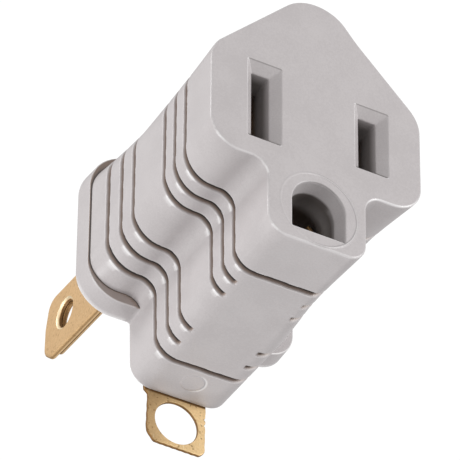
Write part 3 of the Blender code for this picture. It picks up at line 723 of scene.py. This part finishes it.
def sleeve():
    """The strip rolled round the ground pin: its section carried round an arc that stays open above."""
    angle = np.radians(np.linspace(90 + SLEEVE_GAP / 2, 450 - SLEEVE_GAP / 2, 64))
    section = rounded_rectangle(SHEET / 2, SLEEVE_LENGTH / 2, 0.12)
    radius = SLEEVE_RADIUS + section[None, :, 0]
    x = radius * np.cos(angle)[:, None]
    z = PIN_CENTRE + radius * np.sin(angle)[:, None]
    y = SLEEVE_START + SLEEVE_LENGTH / 2 - np.broadcast_to(section[None, :, 1], x.shape)
    # Painted shade: the sleeve sits deep inside the ground hole
    return tube(np.stack([x, y, z], -1)[::-1], 0.75)


def tab_outline():
    """The flattened ground strip as (x, distance up from the tab's end): a tail, one shoulder and the tab.

    The tab leans a little, its lower left corner is clipped and the right edge has two small nicks.
    """
    flat_top = BEND_AT + TAIL_LENGTH
    corners = np.array([[
        (-TAIL_HALF_WIDTH, flat_top), (TAIL_HALF_WIDTH, flat_top), (TAIL_HALF_WIDTH, 7.0), (3.45, 6.6),
        (3.38, 0.0), (-2.68, 0.08), (-3.5, 1.35), (-3.38, 5.95), (-TAIL_HALF_WIDTH, 6.3),
    ]])
    radii = np.array([[0.2, 0.2, 0.2, 0.3, 0.85, 0.75, 1.5, 0.25, 0.25]])
    arcs = [2, 2, 3, 4, 10, 6, 8, 4, 4]
    edges = [12, 40, 2, 60, 50, 10, 30, 4, 40]
    ring = rounded_outline(corners, radii, arcs, edges)[0][0]
    right = ring[:, 0] > 3.2
    nicks = sum(deep * np.exp(-((ring[:, 1] - up) / wide) ** 2) for up, wide, deep in TAB_NICKS)
    ring[:, 0] -= np.where(right, nicks, 0.0)
    waver = 0.018 * (np.sin(5.1 * ring[:, 1]) + np.sin(8.3 * ring[:, 0] + 1.0))
    return ring - ring_normals(ring[None])[0] * waver[:, None]


def bent(points):
    """Folds the flat strip (x, thickness, distance up): up the tab, round the bend and into the lobe.

    Above the bend's start the strip turns through a quarter circle about a centre in front of it, and then
    runs towards the socket face.
    """
    x, through, up = points.T
    radius = BEND_RADIUS + through
    middle = BEND_RADIUS + SHEET / 2
    angle = np.clip((up - BEND_AT) / middle, 0, np.pi / 2)
    run = np.maximum(up - BEND_AT - middle * np.pi / 2, 0)
    y = np.where(up < BEND_AT, through, -BEND_RADIUS + radius * np.cos(angle) - run)
    z = np.where(up < BEND_AT, up, BEND_AT + radius * np.sin(angle)) + TAB_END
    return np.stack([x, y, z], -1)


def build_ground_contact(material):
    """The rolled sleeve, and the flat strip with the screw hole bent down behind the lobe."""
    outline = tab_outline()
    depth = np.array([0, 0.015, 0.05, 0.1, 0.3, 0.35, 0.385, 0.4])
    rounding = np.array([0.09, 0.05, 0.015, 0.0, 0.0, 0.015, 0.05, 0.09])
    inset = np.broadcast_to(rounding[:, None], (len(depth), len(outline)))
    across, up = np.meshgrid(np.linspace(-3.6, 3.6, 12), BEND_AT + np.linspace(-0.1, 1.3, 15))
    beside, line = np.meshgrid(np.linspace(-3.1, 3.1, 12), SHADOW_ROWS)
    spread = np.stack([np.append(across, beside), np.append(up, line)], -1)
    bore = ((0.0, TAB_HOLE_AT - TAB_END), depth, TAB_HOLE_RADIUS + rounding * 0.8)
    points, skin, caps = plate(outline, depth, inset, [bore], spread)
    front = points[:, 1] < 0.02
    back = points[:, 1] > SHEET - 0.02
    # Painted shade on the tab's faces: a shadow line under the lobe and a darker left side; the cut edges are
    # darkened fully
    lobe_shadow = 0.9 * smooth_step(points[:, 2], *SHADOW_ROWS[:2]) * front
    left_shade = 0.5 * smooth_step(-points[:, 0], -1.5, 3.4)
    dark = np.where(front | back, np.maximum(left_shade, lobe_shadow), 1.0)
    curved = points[:, 2][np.array(caps)].max(axis=1) > BEND_AT - 0.05
    skin += [face for face, bends in zip(caps, curved) if bends]
    caps = [face for face, bends in zip(caps, curved) if not bends]
    made = joined("ground_strip", [(bent(points), skin, caps, dark), sleeve()])
    finish_piece(made, material, "ground_contact")


def finish_piece(piece, material, node):
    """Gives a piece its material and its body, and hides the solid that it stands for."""
    piece.data.materials.append(material)
    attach(piece, "root")
    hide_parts(node)


def build_housing():
    """One closed skin: the outside, the flat face with its three openings, and their insides."""
    skin, grime_and_shade, gloss_and_highlight = map(np.concatenate, zip(front_skin(), flange_skin(), wall_edge_skin()))
    rows, columns = skin.shape[:2]
    pin_top = PIN_ARCH + PIN_HALF_WIDTH
    openings = [
        opening(-BLADE_X, SLOT_HALF_WIDTH, NEUTRAL_HALF_HEIGHT, -NEUTRAL_HALF_HEIGHT, SLOT_MOUTH, 0.5,
                SLOT_DARKENS),
        opening(BLADE_X, SLOT_HALF_WIDTH, HOT_HALF_HEIGHT, -HOT_HALF_HEIGHT, SLOT_MOUTH, 0.5, SLOT_DARKENS),
        opening(0.0, PIN_HALF_WIDTH, pin_top, PIN_FLOOR, PIN_MOUTH, 0.3, PIN_DARKENS, round_top=True),
    ]
    points = [skin.reshape(-1, 3)]
    shades = [np.zeros(rows * columns)]
    gloss_and_highlights = [gloss_and_highlight.ravel()]
    faces = quads(rows, columns, 0).tolist()
    flat = [list(range((rows - 1) * columns, rows * columns))]
    holes = []
    base = rows * columns
    for rings, shade, lit in openings:
        count, around = rings.shape[:2]
        points.append(rings.reshape(-1, 3))
        shades.append(shade.ravel())
        gloss_and_highlights.append(lit.ravel())
        faces += quads(count, around, base, inward=True).tolist()
        flat.append(list(range(base + (count - 1) * around, base + count * around))[::-1])
        holes.append((np.arange(base, base + around), rings[0][:, [0, 2]]))
        base += count * around
    cap = face_cap((np.arange(columns), skin[0][:, [0, 2]]), holes)
    flat += cap.tolist()
    grime_and_shade = np.concatenate([grime_and_shade.ravel(), np.zeros(base - rows * columns)])
    return mesh_object("housing", np.concatenate(points), faces + flat, len(flat),
                       {"grime_and_shade": grime_and_shade, "shade": np.concatenate(shades), "gloss_and_highlight": np.concatenate(gloss_and_highlights)})


class Nodes:
    """Short names for building a node tree: every maker returns the new node's output or the node."""

    def __init__(self, tree):
        self.tree = tree

    def node(self, kind, **settings):
        made = self.tree.nodes.new("ShaderNode" + kind)
        for key, value in settings.items():
            setattr(made, key, value)
        return made

    def fill(self, socket, value):
        """Links an output to a socket, or sets the socket to a plain value."""
        if isinstance(value, bpy.types.NodeSocket):
            self.tree.links.new(value, socket)
        else:
            socket.default_value = value

    def math(self, operation, a, b=0.0, c=0.0, clamp=False):
        made = self.node("Math", operation=operation, use_clamp=clamp)
        for socket, value in zip(made.inputs, (a, b, c)):
            self.fill(socket, value)
        return made.outputs[0]

    def vector(self, operation, a, b=(0.0, 0.0, 0.0)):
        made = self.node("VectorMath", operation=operation)
        self.fill(made.inputs[0], a)
        self.fill(made.inputs[1], b)
        return made.outputs["Value" if operation == "LENGTH" else "Vector"]

    def spread(self, value, low, high, out_low=0.0, out_high=1.0):
        """The value between low and high, spread smoothly over out_low to out_high."""
        made = self.node("MapRange", interpolation_type="SMOOTHSTEP")
        for socket, content in zip(made.inputs, (value, low, high, out_low, out_high)):
            self.fill(socket, content)
        return made.outputs[0]

    def noise(self, vector, scale, detail, roughness=0.5):
        made = self.node("TexNoise")
        values = {"Vector": vector, "Scale": scale, "Detail": detail, "Roughness": roughness}
        for name, value in values.items():
            self.fill(made.inputs[name], value)
        return made.outputs[0]

    def blend(self, factor, a, b):
        made = self.node("Mix", data_type="RGBA", blend_type="MIX")
        self.fill(made.inputs["Factor"], factor)
        self.fill(made.inputs["A"], a)
        self.fill(made.inputs["B"], b)
        return made.outputs["Result"]

    def bump(self, height, distance, strength, normal=None):
        made = self.node("Bump")
        self.fill(made.inputs["Height"], height)
        self.fill(made.inputs["Distance"], distance)
        self.fill(made.inputs["Strength"], strength)
        if normal:
            self.fill(made.inputs["Normal"], normal)
        return made.outputs[0]

    def attribute(self, name):
        return self.node("Attribute", attribute_name=name).outputs["Fac"]

    def place(self):
        return self.node("TexCoord").outputs["Object"]

    def group(self, group, **values):
        """A copy of a shared effect with its own values; returns its outputs."""
        made = self.node("Group", node_tree=group)
        for name, value in values.items():
            self.fill(made.inputs[name.replace("_", " ")], value)
        return made.outputs


def effect(name, inputs, outputs):
    """A shader node group with named inputs and outputs; returns the tree, its makers and its two ends."""
    tree = bpy.data.node_groups.new(name, "ShaderNodeTree")
    for label, kind in inputs:
        tree.interface.new_socket(label, in_out="INPUT", socket_type="NodeSocket" + kind)
    for label, kind in outputs:
        tree.interface.new_socket(label, in_out="OUTPUT", socket_type="NodeSocket" + kind)
    nodes = Nodes(tree)
    return tree, nodes, tree.nodes.new("NodeGroupInput").outputs, tree.nodes.new("NodeGroupOutput").inputs


def grain_effect():
    """Fine cloudy grain: a broad mottle and a small-scale height, from noises at two scales."""
    tree, nodes, given, made = effect(
        "fine_grain", [("Place", "Vector"), ("Fine Scale", "Float"), ("Broad Scale", "Float")],
        [("Mottle", "Float"), ("Height", "Float")])
    fine = nodes.noise(given["Place"], given["Fine Scale"], 3.0, 0.55)
    broad = nodes.noise(given["Place"], given["Broad Scale"], 2.0, 0.5)
    nodes.fill(made["Mottle"], nodes.math("MULTIPLY_ADD", fine, 0.6, nodes.math("MULTIPLY", broad, 0.4)))
    nodes.fill(made["Height"], fine)
    return tree


def ring_effect():
    """A thin circular line of a radius about a centre, in the plane that the Plane vector keeps."""
    tree, nodes, given, made = effect(
        "ring_mark", [("Place", "Vector"), ("Centre", "Vector"), ("Plane", "Vector"), ("Radius", "Float"),
                      ("Width", "Float")], [("Line", "Float"), ("Disc", "Float")])
    offset = nodes.vector("SUBTRACT", given["Place"], given["Centre"])
    away = nodes.vector("LENGTH", nodes.vector("MULTIPLY", offset, given["Plane"]))
    away = nodes.math("SUBTRACT", away, given["Radius"])
    line = nodes.math("DIVIDE", nodes.math("ABSOLUTE", away), given["Width"])
    nodes.fill(made["Line"], nodes.spread(line, 0.0, 1.0, 1.0, 0.0))
    nodes.fill(made["Disc"], nodes.spread(nodes.math("DIVIDE", away, given["Width"]), -1.0, 0.0, 1.0, 0.0))
    return tree


def new_material(name):
    made = bpy.data.materials.new(name)
    made.use_nodes = True
    return made, Nodes(made.node_tree), made.node_tree.nodes["Principled BSDF"].inputs


def vinyl_material(grain, ring):
    """Satin grey vinyl with a fine moulded grain, grime and painted shade in its grooves, painted shade on
    its ledge and in its openings, and painted highlights.
    """
    made, nodes, shader = new_material("grey_vinyl")
    place = nodes.place()
    skin = nodes.group(grain, Place=place, Fine_Scale=5200.0, Broad_Scale=260.0)
    tint = nodes.blend(nodes.spread(skin["Mottle"], 0.38, 0.62), VINYL_DARK, VINYL_LIGHT)
    # Grime and painted shade in the grooves and painted shade on the ledge, near black where deepest; painted
    # shade inside the openings
    grime_and_shade = nodes.attribute("grime_and_shade")
    tint = nodes.blend(nodes.spread(grime_and_shade, 0.0, 0.45), tint, VINYL_GRIME_AND_SHADE)
    tint = nodes.blend(nodes.spread(grime_and_shade, 0.4, 0.8), tint, VINYL_GROOVE_SHADE)
    tint = nodes.blend(nodes.attribute("shade"), tint, VINYL_INSIDE_SHADE)
    axes = nodes.node("SeparateXYZ")
    nodes.fill(axes.inputs[0], place)
    face = nodes.math("LESS_THAN", axes.outputs["Y"], FACE_FRONT_OF * MM)
    # The collar ring is stronger towards the right, where its line also carries a painted highlight
    collar_weight = nodes.math("MULTIPLY", face, nodes.spread(axes.outputs["X"], -2.5 * MM, 1.5 * MM, 0.3, 1.0))
    collar_line = nodes.math("MULTIPLY", collar_weight, nodes.group(ring, Place=place, **COLLAR)["Line"])
    under = nodes.math("LESS_THAN", axes.outputs["Z"], LOBE_UNDER * MM)
    ejector = nodes.group(ring, Place=place, **EJECTOR)
    marks = nodes.math("ADD", collar_line, nodes.math("MULTIPLY", under, ejector["Disc"]))
    fine = nodes.bump(skin["Height"], 0.03 * MM, 0.4)
    nodes.fill(shader["Normal"], nodes.bump(marks, 0.11 * MM, 0.9, fine))
    # Painted highlights: a crescent on the right of the round mark under the lobe and a faint one along the
    # collar ring; they lighten the colour, and the roughness drops with them
    right_half = nodes.spread(axes.outputs["X"], 0.1 * MM, 1.2 * MM)
    crescent = nodes.math("MULTIPLY", under, nodes.math("MULTIPLY", ejector["Line"], right_half))
    mark_highlight = nodes.math("MAXIMUM", nodes.math("MULTIPLY", collar_line, 0.25), crescent)
    gloss_and_highlight = nodes.math("MAXIMUM", nodes.attribute("gloss_and_highlight"), mark_highlight)
    tint = nodes.blend(nodes.math("MULTIPLY", gloss_and_highlight, 0.9, clamp=True), tint, VINYL_PAINTED_HIGHLIGHT)
    nodes.fill(shader["Base Color"], tint)
    roughness = nodes.spread(skin["Mottle"], 0.3, 0.7, 0.3, 0.42)
    nodes.fill(shader["Roughness"], nodes.math("MULTIPLY_ADD", gloss_and_highlight, -0.15, roughness))
    return made


def brass_material(name, color, roughness, specks, grain):
    """Stamped brass: mottled, with dark specks, pale scratches, a fine rolled grain, and painted shade and
    highlights from the dark attribute.
    """
    made, nodes, shader = new_material(name)
    place = nodes.place()
    skin = nodes.group(grain, Place=place, Fine_Scale=3600.0, Broad_Scale=420.0)
    tarnished = tuple(0.86 * c for c in color) + (1.0,)
    tint = nodes.blend(nodes.spread(skin["Mottle"], 0.38, 0.62), tarnished, color + (1.0,))
    speck = nodes.noise(place, 2300.0, 1.0)
    scratch = nodes.noise(nodes.vector("MULTIPLY", place, (1.0, 1.0, 0.22)), 4200.0, 1.0)
    tint = nodes.blend(nodes.spread(speck, 0.61, 0.69, 0.0, specks), tint, BRASS_TARNISH_AND_SHADE)
    tint = nodes.blend(nodes.spread(scratch, 0.66, 0.74, 0.0, specks), tint, BRASS_SCRATCH_AND_HIGHLIGHT)
    # painted shade where the dark attribute is above 0, a painted highlight where it is below 0
    dark = nodes.attribute("dark")
    tint = nodes.blend(nodes.spread(dark, 0.0, 1.0), tint, BRASS_TARNISH_AND_SHADE)
    tint = nodes.blend(nodes.spread(dark, 0.0, -1.0), tint, BRASS_SCRATCH_AND_HIGHLIGHT)
    nodes.fill(shader["Base Color"], tint)
    nodes.fill(shader["Metallic"], 0.8)
    nodes.fill(shader["Roughness"], nodes.spread(skin["Mottle"], 0.3, 0.7, roughness + 0.08, roughness))
    nodes.fill(shader["Normal"], nodes.bump(skin["Height"], 0.03 * MM, 0.4))
    return made


def place_camera():
    """The photograph's viewpoint: the eye is a point, and the view's two directions turn the camera."""
    data = bpy.data.cameras.new("camera")
    data.lens = LENS
    data.sensor_width = 36
    data.clip_start = 0.01
    data.clip_end = 20
    camera = bpy.data.objects.new("camera", data)
    back = -Vector(AIM_AWAY).normalized()
    up = Vector(AIM_UP)
    right = up.cross(back).normalized()
    up = back.cross(right)
    turn = Matrix((right, up, back)).transposed()
    camera.matrix_world = Matrix.Translation(Vector(EYE) * MM) @ turn.to_4x4()
    bpy.context.scene.collection.objects.link(camera)
    bpy.context.scene.camera = camera


def soft_light(name, place, size, power):
    """A square soft box that faces the middle of the adapter."""
    data = bpy.data.lights.new(name, "AREA")
    data.shape = "SQUARE"
    data.size = size
    data.energy = power
    made = bpy.data.objects.new(name, data)
    made.location = place
    made.rotation_mode = "QUATERNION"
    made.rotation_quaternion = (Vector(LIGHTS_AIM) - Vector(place)).to_track_quat("-Z", "Y")
    bpy.context.scene.collection.objects.link(made)


def build_studio():
    """White surroundings that look brighter than they light, a pale floor well below, and soft boxes."""
    world = bpy.data.worlds.new("studio")
    world.use_nodes = True
    background = world.node_tree.nodes["Background"]
    background.inputs["Color"].default_value = (1, 1, 1, 1)
    background.inputs["Strength"].default_value = SURROUNDINGS_LIGHT
    seen = world.node_tree.nodes.new("ShaderNodeBackground")
    seen.inputs["Color"].default_value = (1, 1, 1, 1)
    seen.inputs["Strength"].default_value = SURROUNDINGS_SEEN
    path = world.node_tree.nodes.new("ShaderNodeLightPath")
    either = world.node_tree.nodes.new("ShaderNodeMixShader")
    link = world.node_tree.links.new
    link(path.outputs["Is Camera Ray"], either.inputs["Fac"])
    link(background.outputs["Background"], either.inputs[1])
    link(seen.outputs["Background"], either.inputs[2])
    link(either.outputs["Shader"], world.node_tree.nodes["World Output"].inputs["Surface"])
    bpy.context.scene.world = world
    bpy.context.scene.view_settings.view_transform = "Standard"
    floor_material, nodes, shader = new_material("pale_floor")
    nodes.fill(shader["Base Color"], (0.85, 0.85, 0.85, 1))
    nodes.fill(shader["Roughness"], 0.7)
    sheet = [(-4000, -4000, -1100), (4000, -4000, -1100), (4000, 4000, -1100), (-4000, 4000, -1100)]
    floor = mesh_object("floor", sheet, [(0, 1, 2, 3)], 1)
    floor.data.materials.append(floor_material)
    soft_light("left_low", (-0.42, 0.11, -0.24), 0.16, 1.05)
    soft_light("left_high", (-0.39, 0.07, 0.30), 0.16, 0.7)
    soft_light("front", (0.33, -0.38, 0.02), 0.2, 1.4)
    soft_light("left_front", (-0.375, -0.33, -0.14), 0.2, 0.5)
    soft_light("below", (0.20, 0.14, -0.44), 0.16, 0.55)


def dress():
    """Every piece with its finish."""
    grain = grain_effect()
    finish_piece(build_housing(), vinyl_material(grain, ring_effect()), "vinyl_body")
    blade_brass = brass_material("blade_brass", BLADE_BRASS, 0.46, 0.25, grain)
    tab_brass = brass_material("tab_brass", TAB_BRASS, 0.5, 0.7, grain)
    build_blade_contact("neutral_strip", "neutral_contact", -BLADE_X, NEUTRAL_HALF_WIDTH, BLADE_TILT,
                        blade_brass)
    build_blade_contact("hot_strip", "hot_contact", BLADE_X, HOT_HALF_WIDTH, 0.0, blade_brass)
    build_ground_contact(tab_brass)


dress()
place_camera()
build_studio()
